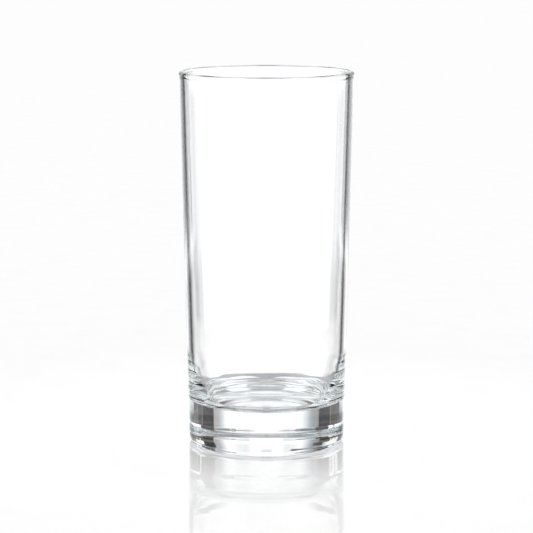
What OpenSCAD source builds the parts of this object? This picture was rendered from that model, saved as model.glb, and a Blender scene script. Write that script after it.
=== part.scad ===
// Highball glass: one piece of clear pressed glass, with nothing joined to it.
// It is a body of revolution, so the whole form is one outline turned about Z.
// Millimetres, +Z up. The origin is on the axis, in the plane that the foot stands on.

/* [Overall] */
// Height from the table to the top of the rim
height = 145; // [110:1:180]
// Outer diameter of the straight wall, taken up to the level of the rim
mouth_d = 67; // [58:0.5:80]
// Outer diameter of the straight wall, taken down to the level of the table
base_d = 60.8; // [52:0.2:72]

/* [Wall] */
// Thickness of the wall just under the rim
rim_wall = 1.9; // [1.4:0.1:3]
// Thickness of the wall where the cup starts to close in
low_wall = 2.3; // [1.8:0.1:4]

/* [Rim] */
// How far the melted bead of the rim stands out from each face of the wall
bead_proud = 0.25; // [0.1:0.05:0.6]
// Radius of the hollow that leads each face of the wall into the bead
bead_blend_r = 3; // [1:0.5:6]

/* [Cup] */
// Height of the cup's floor above the table, at the middle
floor_h = 15.3; // [9.5:0.1:24]
// Radius of the shallow dish of the floor
floor_r = 250; // [120:10:500]
// Height at which the cup starts to close in towards its floor
shoulder_h = 37.6; // [34:0.2:56]
// Radius of the long curve below the shoulder
shoulder_r = 68; // [50:1:100]
// Radius of the tight curve between the shoulder's curve and the floor
corner_r = 4.5; // [3:0.5:7]

/* [Foot] */
// Radius of the heel, between the wall and the ring that the glass stands on
heel_r = 2.6; // [1.5:0.1:4]
// Width of the flat ring that the glass stands on
foot_w = 1.6; // [0.8:0.1:4]
// Rise of the hollow under the base, at the middle
hollow_h = 1.4; // [0.6:0.1:3]
// Radius of the edge between the ring and the hollow
hollow_edge_r = 1.2; // [0.5:0.1:2.5]

/* [Hidden] */
$fn = 160;

mouth_r = mouth_d / 2;
base_r = base_d / 2;
bead_r = rim_wall / 2 + bead_proud;

// Small vector helpers: a vector's unit length copy, its right-hand normal, and a point along a line
function unit(v) = v / norm(v);
function right_of(v) = [v.y, -v.x];
function foot_on(p, dir, q) = p + dir * ((q - p) * dir);

// Where two circles cross, on the right-hand side of the line from centre a to centre b
function circles_cross(a, ra, b, rb) =
    let (d = norm(b - a), along = (d * d + ra * ra - rb * rb) / (2 * d))
    a + unit(b - a) * along + right_of(unit(b - a)) * sqrt(ra * ra - along * along);

// The outer face of the wall: a straight line, upwards, with its normal out of the glass
outer_foot = [base_r, 0];
outer_dir = unit([mouth_r - base_r, height]);
outer_n = right_of(outer_dir);
function outer_at(z) = outer_foot + outer_dir * (z / outer_dir.y);

// The inner face of the wall: a straight line, upwards, with its normal into the cup
inner_top = outer_at(height) - [rim_wall, 0];
inner_low = outer_at(shoulder_h) - [low_wall, 0];
inner_dir = unit(inner_top - inner_low);
inner_n = -right_of(inner_dir);
function inner_at(z) = inner_low + inner_dir * ((z - inner_low.y) / inner_dir.y);

// Heel: an arc that touches the table and the outer face
heel_c = [base_r - heel_r * (1 - outer_dir.x) / outer_dir.y, heel_r];
heel_low = [heel_c.x, 0];
heel_top = foot_on(outer_foot, outer_dir, heel_c);

// Hollow under the base: a shallow dome, led into the ring by a rounded edge
edge_c = [heel_c.x - foot_w, hollow_edge_r];
edge_low = [edge_c.x, 0];
hollow_r = (pow(edge_c.x, 2) + pow(hollow_h, 2) - 2 * hollow_edge_r * hollow_h) / (2 * hollow_h);
hollow_c = [0, hollow_h - hollow_r];
hollow_end = hollow_c + unit(edge_c - hollow_c) * hollow_r;

// Rim: a bead in the middle of the wall, led into each face by a hollow arc
bead_z = height - bead_r;
bead_c = (outer_at(bead_z) + inner_at(bead_z)) / 2;

// Centre of the hollow arc that touches the bead and a face, below the bead
function blend_centre(p, dir, n) =
    let (depth = (bead_c - p) * n, drop = pow(bead_r + bead_blend_r, 2) - pow(bead_blend_r - depth, 2))
    foot_on(p, dir, bead_c) - dir * sqrt(drop) + n * bead_blend_r;
function on_bead(c) = bead_c + unit(c - bead_c) * bead_r;

outer_blend_c = blend_centre(outer_foot, outer_dir, outer_n);
inner_blend_c = blend_centre(inner_low, inner_dir, inner_n);

// Cup: a long curve below the shoulder, a tight corner, and a shallow dish, each tangent to the next
shoulder_c = inner_low + inner_n * shoulder_r;
floor_c = [0, floor_h + floor_r];
corner_c = circles_cross(shoulder_c, shoulder_r - corner_r, floor_c, floor_r - corner_r);
corner_top = corner_c + unit(corner_c - shoulder_c) * corner_r;
corner_low = corner_c + unit(corner_c - floor_c) * corner_r;

// The outline, anticlockwise from under the middle of the base. Each knot is a point and the
// centre of the arc that leads to the next knot, or undef where a straight line leads there.
OUTLINE = [
    [[0, hollow_h], hollow_c],
    [hollow_end, edge_c],
    [edge_low, undef],
    [heel_low, heel_c],
    [heel_top, undef],
    [foot_on(outer_foot, outer_dir, outer_blend_c), outer_blend_c],
    [on_bead(outer_blend_c), bead_c],
    [bead_c + [0, bead_r], bead_c],
    [on_bead(inner_blend_c), inner_blend_c],
    [foot_on(inner_low, inner_dir, inner_blend_c), undef],
    [inner_low, shoulder_c],
    [corner_top, corner_c],
    [corner_low, floor_c],
    [[0, floor_h], undef],
];

// An arc swells out of the solid where its centre lies on the solid's side of the chord
function swells(c, p, q) = cross(q - p, c - p) > 0;

// The part of a circle beyond the chord from p to q, on the side away from the centre c
module arc_segment(c, p, q) {
    r = norm(p - c);
    away = unit((p + q) / 2 - c);
    intersection() {
        translate(c) circle(r);
        polygon([p, p + away * r, q + away * r, q]);
    }
}

// Draws every arc of an outline that swells, or every one that hollows
module arc_segments(knots, swelling) {
    for (i = [0:len(knots) - 1]) {
        p = knots[i][0];
        c = knots[i][1];
        q = knots[(i + 1) % len(knots)][0];
        if (!is_undef(c) && swells(c, p, q) == swelling) arc_segment(c, p, q);
    }
}

// A flat outline with true arcs: the polygon of its knots, plus swelling arcs, less hollow ones
module outline(knots) {
    difference() {
        union() {
            polygon([for (k = knots) k[0]]);
            arc_segments(knots, true);
        }
        arc_segments(knots, false);
    }
}

module glass_body() {
    color([0.80, 0.87, 0.90, 0.45])
        rotate_extrude() outline(OUTLINE);
}

glass_body();
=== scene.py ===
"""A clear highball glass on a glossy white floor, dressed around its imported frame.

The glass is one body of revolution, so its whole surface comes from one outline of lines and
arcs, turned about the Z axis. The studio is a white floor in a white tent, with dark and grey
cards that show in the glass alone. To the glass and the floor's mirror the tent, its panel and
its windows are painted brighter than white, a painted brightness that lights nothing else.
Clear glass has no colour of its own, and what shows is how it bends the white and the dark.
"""

import logging
import math
from dataclasses import dataclass, field
from enum import Enum
from typing import Any

import bpy
import numpy as np
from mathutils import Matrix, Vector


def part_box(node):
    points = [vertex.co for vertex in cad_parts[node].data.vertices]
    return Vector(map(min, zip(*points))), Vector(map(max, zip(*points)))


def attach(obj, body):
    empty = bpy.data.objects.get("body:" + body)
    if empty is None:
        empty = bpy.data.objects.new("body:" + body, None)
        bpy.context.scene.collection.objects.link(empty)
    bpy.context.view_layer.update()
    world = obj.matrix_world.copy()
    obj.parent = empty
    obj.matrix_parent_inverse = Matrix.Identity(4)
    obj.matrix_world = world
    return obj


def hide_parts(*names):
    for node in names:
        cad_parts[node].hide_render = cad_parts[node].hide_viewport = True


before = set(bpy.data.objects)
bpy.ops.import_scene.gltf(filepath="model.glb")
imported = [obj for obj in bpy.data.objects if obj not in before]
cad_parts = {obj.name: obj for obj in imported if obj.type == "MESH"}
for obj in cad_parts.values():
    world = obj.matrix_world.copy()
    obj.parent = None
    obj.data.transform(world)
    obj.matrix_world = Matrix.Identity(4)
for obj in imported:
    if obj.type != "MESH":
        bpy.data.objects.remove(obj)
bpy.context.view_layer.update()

log = logging.getLogger("highball")

MM = 0.001
CLOSE_ROW = 0.08 * MM  # from the end of a straight run to the row next to it
BOUNCES = 28  # light crosses the wall, the base and the floor's mirror many times

Point = np.ndarray
Colour = tuple[float, float, float]
WHITE: Colour = (1.0, 1.0, 1.0)


class NodeKind(Enum):
    """The shader nodes that the finishes and the studio use."""

    PRINCIPLED = "ShaderNodeBsdfPrincipled"
    GLOSSY = "ShaderNodeBsdfAnisotropic"
    DIFFUSE = "ShaderNodeBsdfDiffuse"
    EMISSION = "ShaderNodeEmission"
    BACKGROUND = "ShaderNodeBackground"
    ABSORPTION = "ShaderNodeVolumeAbsorption"
    MIX_SHADER = "ShaderNodeMixShader"
    MIX = "ShaderNodeMix"
    MATH = "ShaderNodeMath"
    MAP_RANGE = "ShaderNodeMapRange"
    NOISE = "ShaderNodeTexNoise"
    BUMP = "ShaderNodeBump"
    COORDINATE = "ShaderNodeTexCoord"
    SEPARATE = "ShaderNodeSeparateXYZ"
    COMBINE = "ShaderNodeCombineXYZ"
    LIGHT_PATH = "ShaderNodeLightPath"
    SURFACE_OUTPUT = "ShaderNodeOutputMaterial"
    WORLD_OUTPUT = "ShaderNodeOutputWorld"


class Signal:
    """A number in a shader. Python operators on it add the Math nodes that work it out."""

    def __init__(self, tree: "ShaderTree", socket: bpy.types.NodeSocket) -> None:
        """Wraps one output socket of a tree."""
        self.tree = tree
        self.socket = socket

    def maths(self, operation: str, *others: "Signal | float", first: bool = True) -> "Signal":
        """Adds one Math node.

        Args:
            operation: The Math node's operation.
            others: The other operands, as signals or numbers.
            first: Whether this signal is the first operand, or the second.

        Returns:
            The node's result.
        """
        operands: list[Signal | float] = [self, *others]
        if not first:
            operands[0], operands[1] = operands[1], operands[0]
        inputs = {index: operand for index, operand in enumerate(operands)}
        return self.tree.signal(NodeKind.MATH, {"operation": operation}, inputs)

    def __add__(self, other: "Signal | float") -> "Signal":
        """Returns the sum."""
        return self.maths("ADD", other)

    __radd__ = __add__

    def __sub__(self, other: "Signal | float") -> "Signal":
        """Returns the difference."""
        return self.maths("SUBTRACT", other)

    def __rsub__(self, other: float) -> "Signal":
        """Returns a number less this signal."""
        return self.maths("SUBTRACT", other, first=False)

    def __mul__(self, other: "Signal | float") -> "Signal":
        """Returns the product."""
        return self.maths("MULTIPLY", other)

    __rmul__ = __mul__

    def __pow__(self, other: float) -> "Signal":
        """Returns this signal raised to a power."""
        return self.maths("POWER", other)

    def __abs__(self) -> "Signal":
        """Returns the size of this signal, without its sign."""
        return self.maths("ABSOLUTE")

    def at_least(self, other: "Signal | float") -> "Signal":
        """Returns the larger of the two."""
        return self.maths("MAXIMUM", other)

    def step(self, low: float, high: float) -> "Signal":
        """Returns a smooth rise from 0 at low to 1 at high, or a fall where low is above high."""
        settings = {"interpolation_type": "SMOOTHSTEP", "clamp": True}
        falls = low > high
        inputs = {"Value": self, "From Min": min(low, high), "From Max": max(low, high)}
        inputs |= {"To Min": float(falls), "To Max": float(not falls)}
        return self.tree.signal(NodeKind.MAP_RANGE, settings, inputs)


class ShaderTree:
    """A node tree that is built from kinds, settings and inputs."""

    def __init__(self, tree: bpy.types.NodeTree) -> None:
        """Empties a tree and keeps it."""
        tree.nodes.clear()
        self.tree = tree

    def node(
        self,
        kind: NodeKind,
        settings: dict[str, Any] | None = None,
        inputs: dict[str | int, Any] | None = None,
    ) -> bpy.types.Node:
        """Adds one node.

        Args:
            kind: The node's kind.
            settings: The node's own properties, set before its sockets.
            inputs: A value, a signal or a socket for each input that differs from its default.

        Returns:
            The new node.
        """
        node = self.tree.nodes.new(kind.value)
        for name, value in (settings or {}).items():
            setattr(node, name, value)
        for key, value in (inputs or {}).items():
            source = value.socket if isinstance(value, Signal) else value
            if isinstance(source, bpy.types.NodeSocket):
                self.tree.links.new(source, node.inputs[key])
            else:
                node.inputs[key].default_value = source
        return node

    def signal(
        self,
        kind: NodeKind,
        settings: dict[str, Any] | None = None,
        inputs: dict[str | int, Any] | None = None,
    ) -> Signal:
        """Adds one node, as node() does, and returns its first output as a signal."""
        return Signal(self, self.node(kind, settings, inputs).outputs[0])

    def blend(self, factor: Signal, low: Any, high: Any) -> bpy.types.NodeSocket:
        """Mixes two colours.

        Args:
            factor: 0 for the first colour and 1 for the second.
            low: The first colour, or a socket that gives it.
            high: The second colour, or a socket that gives it.

        Returns:
            The socket of the mixed colour.
        """
        settings = {"data_type": "RGBA", "clamp_factor": True}
        return self.node(NodeKind.MIX, settings, {0: factor, 6: low, 7: high}).outputs[2]

    def mix(self, factor: Signal, low: bpy.types.Node, high: bpy.types.Node) -> bpy.types.Node:
        """Mixes two shaders, where a factor of 1 is all of the second."""
        inputs = {0: factor, 1: low.outputs[0], 2: high.outputs[0]}
        return self.node(NodeKind.MIX_SHADER, None, inputs)


def opaque(colour: Colour) -> tuple[float, float, float, float]:
    """Returns a colour with a full alpha, as a colour socket needs it."""
    return (*colour, 1.0)


def new_material(name: str) -> tuple[bpy.types.Material, ShaderTree]:
    """Makes an empty node material and the tree that builds it."""
    material = bpy.data.materials.new(name)
    material.use_nodes = True
    return material, ShaderTree(material.node_tree)


def unit(vector: Point) -> Point:
    """Returns a vector's copy of length 1."""
    return vector / np.linalg.norm(vector)


def right_of(vector: Point) -> Point:
    """Returns a vector turned a quarter turn clockwise."""
    return np.array([vector[1], -vector[0]])


@dataclass(frozen=True)
class Face:
    """A straight face in the outline: a point on it, its upward direction and its normal."""

    point: Point
    direction: Point
    normal: Point

    def at(self, height: float) -> Point:
        """Returns the face's point at a height."""
        return self.point + self.direction * ((height - self.point[1]) / self.direction[1])

    def nearest(self, point: Point) -> Point:
        """Returns the face's point nearest to a point."""
        return self.point + self.direction * float((point - self.point) @ self.direction)


@dataclass
class Outline:
    """A half section as rows of radius and height, collected from lines and arcs."""

    pieces: list[np.ndarray] = field(default_factory=list)

    def line(self, start: Point, end: Point, count: int) -> None:
        """Adds a straight run: start + (end - start) t, for t from 0 to 1, without its end point.

        The rows next to its two ends lie close to them, so that the smooth shading of the curves
        that the run joins doesn't spread along it.

        Args:
            start: The first point.
            end: The point that the next piece starts from.
            count: How many rows the run gets.
        """
        close = CLOSE_ROW / float(np.linalg.norm(end - start))
        along = np.concatenate([[0.0], np.linspace(close, 1.0 - close, count - 1)])
        self.pieces.append(start + (end - start) * along[:, None])

    def arc(self, centre: Point, start: Point, end: Point, count: int) -> None:
        """Adds an arc: centre + radius (cos a, sin a), with a going evenly the short way round.

        Args:
            centre: The arc's centre.
            start: The first point, which gives the radius.
            end: The point that the next piece starts from.
            count: How many rows the arc gets.
        """
        spoke, last = start - centre, end - centre
        first_angle = math.atan2(spoke[1], spoke[0])
        turn = math.atan2(last[1], last[0]) - first_angle
        turn = (turn + math.pi) % math.tau - math.pi
        angle = first_angle + turn * np.arange(count) / count
        radius = np.linalg.norm(spoke)
        self.pieces.append(centre + radius * np.stack([np.cos(angle), np.sin(angle)], axis=1))

    def rows(self) -> np.ndarray:
        """Returns every row in order, as an array of radius and height."""
        return np.concatenate(self.pieces)


@dataclass(frozen=True)
class MouldRipple:
    """Faint waves that the plunger leaves in the cup's lower wall. Lengths are in metres."""

    lowest: float = 23.0 * MM
    highest: float = 37.5 * MM
    fade: float = 3.0 * MM
    depth: float = 0.006 * MM
    wavelength: float = 3.2 * MM
    sway: float = 0.9
    within: float = 30.0 * MM

    def shift(self, radius: np.ndarray, height: np.ndarray, angle: np.ndarray) -> np.ndarray:
        """Works out how far each point moves outwards: d w(z) sin(2 pi z / l + s sin 2t).

        The window w rises from 0 to 1 over the fade at each end, and is 0 outside. The waves are
        in the inside of the wall alone, which is told from the outer face by its smaller radius.

        Args:
            radius: The radius of each row.
            height: The height of each row.
            angle: The bearing of each turn.

        Returns:
            The shifts, as an array of rows by turns.
        """
        ends = np.minimum(height - self.lowest, self.highest - height) / self.fade
        window = np.clip(ends, 0.0, 1.0) * (radius < self.within)
        phase = math.tau * height[:, None] / self.wavelength + self.sway * np.sin(2.0 * angle)
        return self.depth * window[:, None] * np.sin(phase)


@dataclass(frozen=True)
class RowCounts:
    """How many rows each line and arc of the outline gets."""

    hollow: int = 24
    hollow_edge: int = 12
    foot_ring: int = 4
    heel: int = 40
    outer_face: int = 12
    bead_blend: int = 12
    half_bead: int = 20
    inner_face: int = 24
    shoulder: int = 70
    corner: int = 30
    cup_floor: int = 24


@dataclass
class GlassBody:
    """The glass: one outline, turned about Z. Its sizes are the part's own, in metres."""

    height: float
    bead_reach: float
    mouth_r: float = 33.5 * MM
    base_r: float = 30.4 * MM
    rim_wall: float = 1.9 * MM
    low_wall: float = 2.3 * MM
    bead_proud: float = 0.25 * MM
    bead_blend_r: float = 3.0 * MM
    floor_h: float = 15.3 * MM
    floor_r: float = 250.0 * MM
    shoulder_h: float = 37.6 * MM
    shoulder_r: float = 68.0 * MM
    corner_r: float = 4.5 * MM
    heel_r: float = 2.6 * MM
    foot_w: float = 1.6 * MM
    hollow_h: float = 1.4 * MM
    hollow_edge_r: float = 1.2 * MM
    ripple: MouldRipple = MouldRipple()
    counts: RowCounts = RowCounts()
    turns: int = 256

    def outer_face(self) -> Face:
        """Returns the wall's outer face, whose normal leaves the glass."""
        foot = np.array([self.base_r, 0.0])
        direction = unit(np.array([self.mouth_r - self.base_r, self.height]))
        return Face(foot, direction, right_of(direction))

    def inner_face(self) -> Face:
        """Returns the wall's inner face, whose normal leaves the glass for the cup."""
        outer = self.outer_face()
        top = outer.at(self.height) - np.array([self.rim_wall, 0.0])
        low = outer.at(self.shoulder_h) - np.array([self.low_wall, 0.0])
        direction = unit(top - low)
        return Face(low, direction, -right_of(direction))

    def outline(self) -> np.ndarray:
        """Works out the half section, anticlockwise from under the middle of the base.

        Each arc touches its neighbours: a fillet's centre lies on the faces moved out by its
        radius, and where two arcs touch, the point is on the line through their centres.

        Returns:
            Rows of radius and height, from the axis below the base to the axis in the cup, drawn
            in just enough to stay inside the CAD box.
        """
        outer, inner = self.outer_face(), self.inner_face()
        heel_r, edge_r = self.heel_r, self.hollow_edge_r
        lean, rise = outer.direction
        heel_c = np.array([self.base_r - heel_r * (1 - lean) / rise, heel_r])
        edge_c = np.array([heel_c[0] - self.foot_w, edge_r])
        rise_h = self.hollow_h
        hollow_r = (edge_c[0] ** 2 + rise_h**2 - 2 * edge_r * rise_h) / (2 * rise_h)
        hollow_c = np.array([0.0, rise_h - hollow_r])
        hollow_end = hollow_c + unit(edge_c - hollow_c) * hollow_r

        bead_r = self.rim_wall / 2 + self.bead_proud
        bead_z = self.height - bead_r
        bead_c = (outer.at(bead_z) + inner.at(bead_z)) / 2
        blends = [self.blend_centre(face, bead_c, bead_r) for face in (outer, inner)]
        on_bead = [bead_c + unit(centre - bead_c) * bead_r for centre in blends]
        on_face = [face.nearest(c) for face, c in zip((outer, inner), blends)]

        shoulder_c = inner.point + inner.normal * self.shoulder_r
        floor_c = np.array([0.0, self.floor_h + self.floor_r])
        corner_c = self.circles_cross(
            shoulder_c, self.shoulder_r - self.corner_r, floor_c, self.floor_r - self.corner_r
        )
        corner_top = corner_c + unit(corner_c - shoulder_c) * self.corner_r
        corner_low = corner_c + unit(corner_c - floor_c) * self.corner_r

        ring_in, ring_out = np.array([edge_c[0], 0.0]), np.array([heel_c[0], 0.0])
        heel_top = outer.nearest(heel_c)
        rim_top = bead_c + np.array([0.0, bead_r])
        counts = self.counts
        shape = Outline()
        shape.arc(hollow_c, np.array([0.0, rise_h]), hollow_end, counts.hollow)
        shape.arc(edge_c, hollow_end, ring_in, counts.hollow_edge)
        shape.line(ring_in, ring_out, counts.foot_ring)
        shape.arc(heel_c, ring_out, heel_top, counts.heel)
        shape.line(heel_top, on_face[0], counts.outer_face)
        shape.arc(blends[0], on_face[0], on_bead[0], counts.bead_blend)
        shape.arc(bead_c, on_bead[0], rim_top, counts.half_bead)
        shape.arc(bead_c, rim_top, on_bead[1], counts.half_bead)
        shape.arc(blends[1], on_bead[1], on_face[1], counts.bead_blend)
        shape.line(on_face[1], inner.point, counts.inner_face)
        shape.arc(shoulder_c, inner.point, corner_top, counts.shoulder)
        shape.arc(corner_c, corner_top, corner_low, counts.corner)
        shape.arc(floor_c, corner_low, np.array([0.0, self.floor_h]), counts.cup_floor)
        rows = np.vstack([shape.rows(), [0.0, self.floor_h]])
        reach = rows[:, 0].max()
        return rows * np.array([min(1.0, self.bead_reach / reach), 1.0])

    def blend_centre(self, face: Face, bead_c: Point, bead_r: float) -> Point:
        """Returns the centre of the hollow arc that touches a face and the bead, below the bead."""
        depth = float((bead_c - face.point) @ face.normal)
        reach = bead_r + self.bead_blend_r
        drop = math.sqrt(reach**2 - (self.bead_blend_r - depth) ** 2)
        return face.nearest(bead_c) - face.direction * drop + face.normal * self.bead_blend_r

    @staticmethod
    def circles_cross(a: Point, a_r: float, b: Point, b_r: float) -> Point:
        """Returns where two circles cross, on the right-hand side of the line from a to b."""
        gap = float(np.linalg.norm(b - a))
        along = (gap**2 + a_r**2 - b_r**2) / (2 * gap)
        aside = math.sqrt(a_r**2 - along**2)
        return a + unit(b - a) * along + right_of(unit(b - a)) * aside

    def build(self, name: str) -> bpy.types.Object:
        """Turns the outline about Z: (r cos t, r sin t, z) on a grid of rows by turns.

        The mould's ripple is added to r first. The two rows on the axis are single points, each
        closed by a fan of triangles.

        Args:
            name: The new object's name.

        Returns:
            The object, whose mesh is closed and smooth.
        """
        rows = self.outline()
        radius, height = rows[1:-1, 0], rows[1:-1, 1]
        angle = math.tau * np.arange(self.turns) / self.turns
        reach = radius[:, None] + self.ripple.shift(radius, height, angle)
        level = np.broadcast_to(height[:, None], reach.shape)
        grid = np.stack([reach * np.cos(angle), reach * np.sin(angle), level], axis=-1)
        poles = np.array([[0.0, 0.0, rows[0, 1]], [0.0, 0.0, rows[-1, 1]]])
        points = np.concatenate([grid.reshape(-1, 3), poles])

        index = np.arange(len(radius) * self.turns).reshape(len(radius), self.turns)
        turned = np.roll(index, -1, axis=1)
        quads = np.stack([index[:-1], turned[:-1], turned[1:], index[1:]], axis=-1).reshape(-1, 4)
        under, floor = len(points) - 2, len(points) - 1
        under_fan = np.stack([np.full(self.turns, under), turned[0], index[0]], axis=-1)
        floor_fan = np.stack([np.full(self.turns, floor), index[-1], turned[-1]], axis=-1)
        faces = quads.tolist() + under_fan.tolist() + floor_fan.tolist()

        mesh = bpy.data.meshes.new(name)
        mesh.from_pydata(points.tolist(), [], faces)
        mesh.shade_smooth()
        mesh.validate()
        piece = bpy.data.objects.new(name, mesh)
        bpy.context.scene.collection.objects.link(piece)
        return piece


@dataclass(frozen=True)
class ClearGlass:
    """Clear soda-lime glass, faintly green where it is thick, with the slight waves of pressing."""

    ior: float = 1.52
    tint: Colour = (0.86, 0.93, 0.94)
    density: float = 4.0
    hazy: Colour = (0.985, 0.99, 0.99)
    haze_scale: float = 45.0
    haze_from: float = 0.5
    haze_full: float = 0.8
    wave_scale: float = 140.0
    wave_stretch: float = 0.22
    wave_depth: float = 0.01 * MM
    calm_above: float = 70.0 * MM

    def material(self) -> bpy.types.Material:
        """Returns the finish as a material.

        The waves are noise stretched upwards, deepest near the base and fading out up the wall.
        """
        material, tree = new_material("clear_glass")
        place = tree.node(NodeKind.COORDINATE).outputs["Object"]
        split = tree.node(NodeKind.SEPARATE, None, {0: place})
        x, y, z = (Signal(tree, split.outputs[i]) for i in range(3))
        drawn = tree.node(NodeKind.COMBINE, None, {0: x, 1: y, 2: z * self.wave_stretch})
        grain = {"Vector": drawn.outputs[0], "Scale": self.wave_scale, "Detail": 2.0}
        waves = tree.signal(NodeKind.NOISE, None, grain)
        low_down = z.step(self.calm_above, 0.0)
        bump = tree.node(
            NodeKind.BUMP,
            None,
            {"Strength": 1.0, "Distance": self.wave_depth, "Height": waves * low_down},
        )
        cloud = {"Vector": place, "Scale": self.haze_scale, "Detail": 4.0}
        haze = tree.signal(NodeKind.NOISE, None, cloud).step(self.haze_from, self.haze_full)
        surface = tree.node(
            NodeKind.PRINCIPLED,
            None,
            {
                "Base Color": tree.blend(haze, opaque(WHITE), opaque(self.hazy)),
                "Roughness": 0.0,
                "IOR": self.ior,
                "Transmission Weight": 1.0,
                "Normal": bump.outputs[0],
            },
        )
        body = tree.node(
            NodeKind.ABSORPTION, None, {"Color": opaque(self.tint), "Density": self.density}
        )
        ends = {"Surface": surface.outputs[0], "Volume": body.outputs[0]}
        tree.node(NodeKind.SURFACE_OUTPUT, None, ends)
        return material


@dataclass(frozen=True)
class StudioFloor:
    """A glossy white floor. It mirrors the glass most near its foot, and faintly further out."""

    reach: float = 6.0
    corners: int = 64
    drop: float = 0.02 * MM
    glow: float = 0.6
    mirror_near: float = 0.22
    near_full: float = 32 * MM
    near_none: float = 70 * MM
    mirror_far: float = 0.22
    far_full: float = 80 * MM
    far_none: float = 200 * MM
    through_mirror: float = 0.95
    white: Colour = (0.985, 0.985, 0.985)
    worn: Colour = (0.97, 0.97, 0.968)
    wear_scale: float = 60.0
    wear_from: float = 0.45
    wear_full: float = 0.75
    wear_dulls: float = 0.06

    def build(self) -> bpy.types.Object:
        """Returns the floor, as a round sheet a hair below the foot, so that the two don't meet."""
        angle = math.tau * np.arange(self.corners) / self.corners
        ring = np.stack([np.cos(angle), np.sin(angle), np.zeros(self.corners)], axis=1)
        mesh = bpy.data.meshes.new("studio_floor")
        mesh.from_pydata((ring * self.reach).tolist(), [], [list(range(self.corners))])
        floor = bpy.data.objects.new("studio_floor", mesh)
        floor.location.z = -self.drop
        bpy.context.scene.collection.objects.link(floor)
        floor.data.materials.append(self.material())
        return floor

    def material(self) -> bpy.types.Material:
        """Returns the floor's finish: white to the camera, and mostly a mirror to the glass."""
        material, tree = new_material("glossy_white_floor")
        material.cycles.emission_sampling = "NONE"
        place = tree.node(NodeKind.COORDINATE).outputs["Object"]
        split = tree.node(NodeKind.SEPARATE, None, {0: place})
        x, y = (Signal(tree, split.outputs[i]) for i in range(2))
        distance = (x * x + y * y) ** 0.5
        path = tree.node(NodeKind.LIGHT_PATH)
        camera = Signal(tree, path.outputs["Is Camera Ray"])
        diffuse = Signal(tree, path.outputs["Is Diffuse Ray"])
        near = distance.step(self.near_none, self.near_full) * self.mirror_near
        far = distance.step(self.far_none, self.far_full) * self.mirror_far
        mirror = tree.node(NodeKind.GLOSSY, None, {"Roughness": 0.0, "Color": opaque(WHITE)})
        grain = {"Vector": place, "Scale": self.wear_scale, "Detail": 5.0}
        wear = tree.signal(NodeKind.NOISE, None, grain).step(self.wear_from, self.wear_full)
        white = tree.blend(wear, opaque(self.white), opaque(self.worn))
        matt = tree.node(NodeKind.DIFFUSE, None, {"Color": white})
        plain = tree.node(NodeKind.EMISSION, None, {"Color": white})
        lit = tree.mix(camera * self.glow, matt, plain)
        direct = camera * (near + far) * (1 - wear * self.wear_dulls)
        share = direct + (1 - camera) * (1 - diffuse) * self.through_mirror
        surface = tree.mix(share, lit, mirror)
        tree.node(NodeKind.SURFACE_OUTPUT, None, {"Surface": surface.outputs[0]})
        return material


@dataclass(frozen=True)
class Card:
    """A patch of the surround in one colour.

    Angles are in degrees, with bearings clockwise from +Y, and lowest and highest above the
    horizon. Beyond its sides the card fades out over soft, and beyond its ends over soft_rise.
    """

    bearing: float
    half_width: float
    lowest: float
    highest: float
    colour: Colour
    soft: float
    soft_rise: float


BLACK: Colour = (0.02, 0.02, 0.025)
SOOT: Colour = (0.02, 0.02, 0.02)
BROWN: Colour = (0.075, 0.07, 0.065)
LOAM: Colour = (0.12, 0.115, 0.10)
UMBER: Colour = (0.30, 0.24, 0.19)
TAN: Colour = (0.62, 0.47, 0.34)
DUSK: Colour = (0.19, 0.19, 0.19)
SLATE: Colour = (0.29, 0.31, 0.33)
GREY: Colour = (0.44, 0.44, 0.46)
PALE: Colour = (0.84, 0.85, 0.86)
MILK: Colour = (0.94, 0.95, 0.96)
# The tent, window and panel colours here are brighter than white. This is painted brightness that
# only the glass and the floor's mirror see; the camera and diffuse light see plain white, so it
# lights nothing.
TENT_PAINTED_BRIGHT: Colour = (1.10, 1.14, 1.16)
NIGHT: Colour = (0.26, 0.29, 0.32)
WINDOW_PAINTED_BRIGHT: Colour = (1.30, 1.34, 1.35)
PANEL_PAINTED_BRIGHT: Colour = (1.2, 1.2, 1.2)


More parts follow.
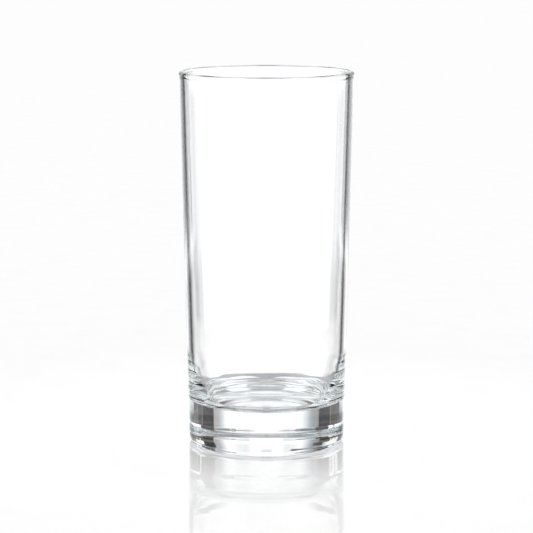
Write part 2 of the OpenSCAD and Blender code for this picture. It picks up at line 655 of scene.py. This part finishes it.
@dataclass
class Surround:
    """A white tent. The glass sees a panel, windows and cards in it, and the camera only white.
    To the glass and the floor's mirror the tent, panel and windows are painted brighter than
    white, while diffuse light sees plain white, so this painted brightness lights nothing.

    A later card covers the earlier ones. Those above 26 degrees show mostly in the rim and the
    cup, those from 10 to 26 in the solid base, and those below 10 in the heel and the wall. The
    tent below the horizon mirrors the one above.
    """

    cards: tuple[Card, ...] = (
        Card(0.0, 180.0, 57.0, 67.0, GREY, 1.0, 3.0),
        Card(0.0, 50.0, 74.0, 90.0, NIGHT, 80.0, 5.0),
        Card(180.0, 34.0, 12.0, 26.0, GREY, 1.0, 2.0),
        Card(180.0, 34.0, 27.0, 56.0, SLATE, 1.0, 6.0),
        Card(80.0, 20.0, 11.2, 26.0, DUSK, 1.5, 0.8),
        Card(-80.0, 20.0, 11.2, 26.0, DUSK, 1.5, 0.8),
        Card(62.0, 34.0, 28.0, 48.0, DUSK, 2.0, 3.0),
        Card(-62.0, 34.0, 38.0, 48.0, DUSK, 2.0, 3.0),
        Card(40.0, 10.0, 32.0, 52.0, BROWN, 2.0, 3.0),
        Card(-40.0, 10.0, 36.0, 52.0, BROWN, 2.0, 3.0),
        # Painted brightness: the panel is brighter than white, and only the glass and the floor's
        # mirror see it.
        Card(0.0, 18.0, 0.0, 26.0, PANEL_PAINTED_BRIGHT, 1.5, 2.0),
        Card(22.0, 4.0, 10.5, 26.0, PANEL_PAINTED_BRIGHT, 1.5, 0.6),
        Card(0.0, 26.0, 32.0, 41.0, GREY, 2.0, 3.0),
        Card(-12.5, 2.0, 19.0, 41.0, MILK, 4.5, 6.0),
        Card(12.5, 2.0, 19.0, 41.0, MILK, 4.5, 6.0),
        Card(-11.5, 2.5, 32.0, 41.0, GREY, 2.5, 3.0),
        Card(11.5, 2.5, 32.0, 41.0, GREY, 2.5, 3.0),
        Card(-20.0, 6.0, 26.0, 39.0, BROWN, 2.0, 2.0),
        Card(19.5, 5.5, 30.0, 39.0, DUSK, 2.0, 2.0),
        Card(0.0, 2.2, 34.0, 62.0, GREY, 1.2, 14.0),
        Card(-30.0, 2.5, 10.5, 26.0, SLATE, 11.0, 0.6),
        Card(-31.5, 4.0, 18.0, 22.0, BROWN, 1.0, 1.0),
        Card(30.5, 2.0, 10.5, 26.0, GREY, 9.0, 0.6),
        Card(-37.2, 6.0, 10.5, 18.2, BLACK, 0.6, 0.6),
        Card(-52.0, 8.5, 10.5, 13.9, BROWN, 0.6, 0.4),
        Card(37.8, 6.2, 10.5, 26.0, BLACK, 0.6, 0.6),
        Card(52.0, 7.7, 10.5, 18.0, BROWN, 0.6, 0.6),
        Card(-37.2, 5.8, 14.6, 17.8, LOAM, 0.6, 0.6),
        Card(37.8, 6.0, 14.6, 17.8, LOAM, 0.6, 0.6),
        Card(44.4, 0.3, 10.5, 18.0, UMBER, 0.25, 0.6),
        Card(31.2, 0.3, 10.5, 18.0, TAN, 0.25, 0.6),
        Card(-43.9, 0.3, 10.5, 17.2, UMBER, 0.25, 0.6),
        Card(-31.0, 0.3, 10.5, 17.2, UMBER, 0.25, 0.6),
        Card(48.5, 1.0, 14.3, 18.0, PALE, 0.4, 0.4),
        Card(55.5, 0.8, 14.3, 20.0, TAN, 0.4, 0.4),
        Card(-47.0, 0.5, 14.3, 17.2, BROWN, 0.4, 0.4),
        Card(-53.0, 0.8, 14.3, 17.2, TAN, 0.4, 0.4),
        # Painted brightness: the windows are brighter than white, and only the glass and the
        # floor's mirror see them.
        Card(55.0, 8.0, 0.0, 9.9, WINDOW_PAINTED_BRIGHT, 2.0, 0.5),
        Card(-56.0, 8.0, 0.0, 9.9, WINDOW_PAINTED_BRIGHT, 2.0, 0.5),
        Card(-43.5, 2.5, 4.0, 9.9, WINDOW_PAINTED_BRIGHT, 1.2, 0.8),
        Card(-34.0, 6.2, 0.0, 9.9, BROWN, 1.0, 0.5),
        Card(-48.5, 1.0, 3.0, 9.9, BROWN, 0.8, 0.5),
        Card(38.0, 7.2, 0.0, 9.9, BROWN, 0.8, 0.5),
        Card(-22.5, 4.5, 0.0, 9.0, SLATE, 1.2, 0.8),
        Card(24.5, 5.0, 0.0, 9.0, GREY, 1.2, 0.8),
        Card(-16.0, 1.2, 4.0, 8.6, DUSK, 1.0, 0.8),
        Card(17.0, 1.0, 4.0, 8.6, DUSK, 1.0, 0.8),
        Card(-11.5, 3.0, 5.5, 11.0, PALE, 1.0, 0.6),
        Card(11.5, 3.0, 5.5, 11.0, PALE, 1.0, 0.6),
        Card(18.0, 10.0, 0.0, 1.6, SOOT, 5.0, 0.6),
        Card(-18.0, 10.0, 0.0, 1.6, SOOT, 5.0, 0.6),
    )

    def build(self) -> None:
        """Makes the world: white to the camera and to diffuse light, the tent painted bright to the
        glass.
        """
        world = bpy.data.worlds.new("studio")
        world.use_nodes = True
        world.cycles.sampling_method = "NONE"
        bpy.context.scene.world = world
        tree = ShaderTree(world.node_tree)
        direction = tree.node(NodeKind.COORDINATE).outputs["Generated"]
        split = tree.node(NodeKind.SEPARATE, None, {0: direction})
        x, y, z = (Signal(tree, split.outputs[i]) for i in range(3))
        rise = abs(z.maths("ARCSINE")) * (180 / math.pi)
        bearing = x.maths("ARCTAN2", y) * (180 / math.pi)
        # The glass and the floor's mirror see this tent painted brighter than white, with its
        # cards. It lights nothing.
        tent: Any = opaque(TENT_PAINTED_BRIGHT)
        for card in self.cards:
            tent = tree.blend(self.cover(card, bearing, rise), tent, opaque(card.colour))
        path = tree.node(NodeKind.LIGHT_PATH)
        camera = Signal(tree, path.outputs["Is Camera Ray"])
        plain = camera.at_least(Signal(tree, path.outputs["Is Diffuse Ray"]))
        seen = tree.blend(plain, tent, opaque(WHITE))
        background = tree.node(NodeKind.BACKGROUND, None, {"Color": seen, "Strength": 1.0})
        tree.node(NodeKind.WORLD_OUTPUT, None, {"Surface": background.outputs[0]})

    @staticmethod
    def cover(card: Card, bearing: Signal, rise: Signal) -> Signal:
        """Returns 1 inside a card and 0 outside it.

        Args:
            card: The card.
            bearing: The direction's bearing in degrees, from -180 to 180.
            rise: The direction's height above or below the horizon in degrees.

        Returns:
            The share of the card's colour in that direction.
        """
        aside = abs(bearing - card.bearing)
        aside = 180.0 - abs(aside - 180.0)
        level = aside.step(card.half_width + card.soft, card.half_width)
        if card.lowest > 0:
            level = level * rise.step(card.lowest - card.soft_rise, card.lowest)
        if card.highest < 90:
            level = level * rise.step(card.highest + card.soft_rise, card.highest)
        return level


@dataclass(frozen=True)
class PhotoCamera:
    """The photograph's camera, fitted to the ellipses of the rim and the foot."""

    distance: float = 840.1 * MM
    height: float = 206.7 * MM
    pitch: float = 9.313
    lens: float = 147.75
    sensor: float = 36.0

    def build(self) -> bpy.types.Object:
        """Makes the camera, looking along +Y and down by its pitch, and sets it."""
        data = bpy.data.cameras.new("photo_camera")
        data.lens = self.lens
        data.sensor_width = self.sensor
        camera = bpy.data.objects.new("photo_camera", data)
        camera.location = (0.0, -self.distance, self.height)
        camera.rotation_euler = (math.radians(90.0 - self.pitch), 0.0, 0.0)
        bpy.context.scene.collection.objects.link(camera)
        bpy.context.scene.camera = camera
        return camera


def main() -> None:
    """Builds the glass, its finish and the studio, and logs how many faces the glass has."""
    logging.basicConfig(level=logging.INFO, format="%(name)s: %(message)s")
    scene = bpy.context.scene
    scene.view_settings.view_transform = "Standard"
    scene.cycles.max_bounces = BOUNCES
    scene.cycles.transmission_bounces = BOUNCES
    scene.cycles.glossy_bounces = BOUNCES
    low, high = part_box("glass_body")
    body = GlassBody(height=high.z - low.z, bead_reach=min(-low.x, -low.y, high.x, high.y))
    piece = body.build("clear_glass_body")
    piece.data.materials.append(ClearGlass().material())
    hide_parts("glass_body")
    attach(piece, "root")
    log.info("%s has %d faces", piece.name, len(piece.data.polygons))
    StudioFloor().build()
    Surround().build()
    PhotoCamera().build()


if __name__ == "__main__":
    main()
